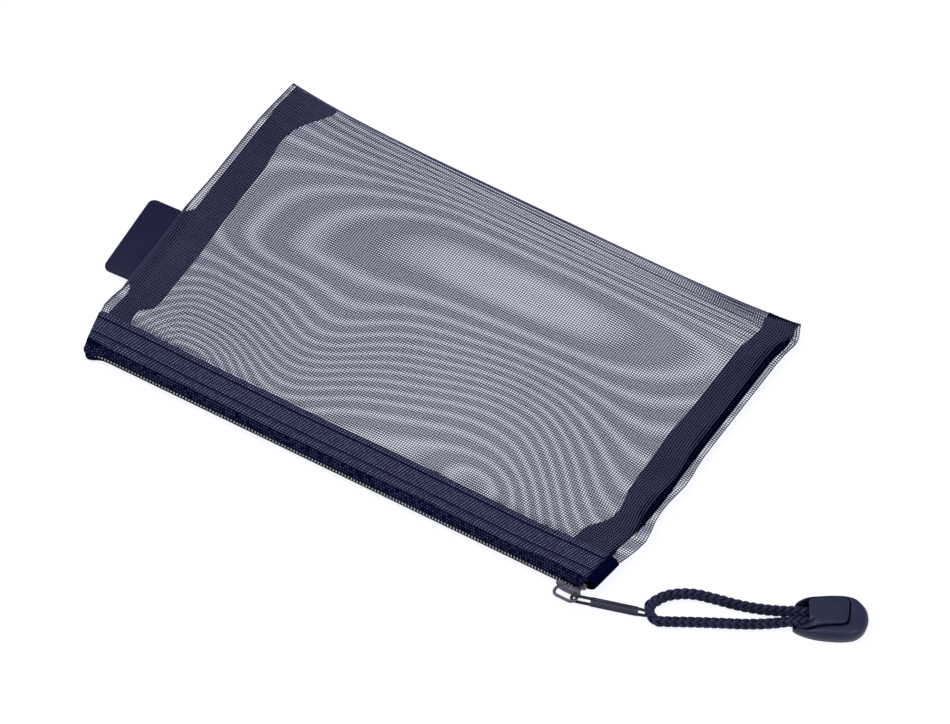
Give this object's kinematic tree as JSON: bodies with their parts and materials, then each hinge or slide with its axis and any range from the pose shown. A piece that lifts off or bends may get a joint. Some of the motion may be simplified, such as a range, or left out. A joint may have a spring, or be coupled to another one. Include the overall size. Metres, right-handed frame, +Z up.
{
  "type": "mesh document wallet",
  "caption": "Flat see-through mesh wallet for small papers, with a zip along its front edge, bound side seams, a side label tab and a corded zip pull.",
  "frame": {"origin": "middle of the underside, on the surface that the wallet lies on", "axes": "+X along the zip towards its closed end, +Y from the zip to the far fold, +Z up"},
  "size_m": [0.2653, 0.1255, 0.0096],
  "materials": {
    "mesh_net": "fine see-through square net, matt",
    "binding_tape": "twill woven tape, matt",
    "thread": "spun polyester thread",
    "band_grosgrain": "ribbed woven tape, matt",
    "zip_tape": "close woven zip tape, matt",
    "zip_coil": "smooth nylon coil",
    "label_rubber": "soft matt moulded rubber",
    "slider_paint": "dark satin enamel",
    "link_paint": "dark satin enamel",
    "cord_braid": "braided cord with a slight sheen",
    "cord_end": "fine-grained moulded plastic"
  },
  "bodies": {
    "wallet": {"mesh_lower_panel": "mesh_net", "side_binding_left": "binding_tape", "side_binding_right": "binding_tape", "side_stitching_left": "thread", "side_stitching_right": "thread", "zip_band_lower": "band_grosgrain", "band_stitching_lower": "thread", "zip_tape_lower": "zip_tape", "zip_coil_lower": "zip_coil", "zip_core_lower": "thread", "label_tab": "label_rubber"},
    "upper_lip": {"mesh_upper_panel": "mesh_net", "zip_band_upper": "band_grosgrain", "band_stitching_upper": "thread", "zip_tape_upper": "zip_tape", "zip_coil_upper": "zip_coil", "zip_core_upper": "thread"},
    "slider": {"slider_body": "slider_paint", "slider_bail": "slider_paint"},
    "pull_link": {"pull_link": "link_paint", "link_sleeve": "link_paint"},
    "pull_cord": {"pull_cord": "cord_braid", "cord_end_tray": "cord_end", "cord_end_lid": "cord_end"}
  },
  "joints": [
    {"name": "slider_slide", "type": "slide", "parent": "wallet", "child": "slider", "axis": [1, 0, 0], "range_m": [-0.162, 0], "deforming": ["zip_coil_lower", "zip_core_lower"]},
    {"name": "mouth_open", "type": "hinge", "parent": "wallet", "child": "upper_lip", "pos_m": [0, 0.05725, 0.00275], "axis": [-1, 0, 0], "range_deg": [0, 10], "deforming": ["mesh_upper_panel", "zip_band_upper", "band_stitching_upper", "zip_tape_upper", "zip_coil_upper", "zip_core_upper"]},
    {"name": "pull_swing", "type": "hinge", "parent": "slider", "child": "pull_link", "pos_m": [0.0852, -0.0635, 0.003], "axis": [0, 0, 1], "range_deg": [-160, 0], "deforming": ["pull_cord"]},
    {"name": "cord_flip", "type": "hinge", "parent": "pull_link", "child": "pull_cord", "pos_m": [0.10791, -0.05581, 0.00195], "axis": [0.3206, -0.9472, 0], "range_deg": [-80, 135]}
  ],
  "couplings": [
    {"joint": "pull_swing", "follows": "slider_slide", "rad_per_m": 17.237},
    {"joint": "mouth_open", "follows": "slider_slide", "rad_per_m": -1.077}
  ]
}
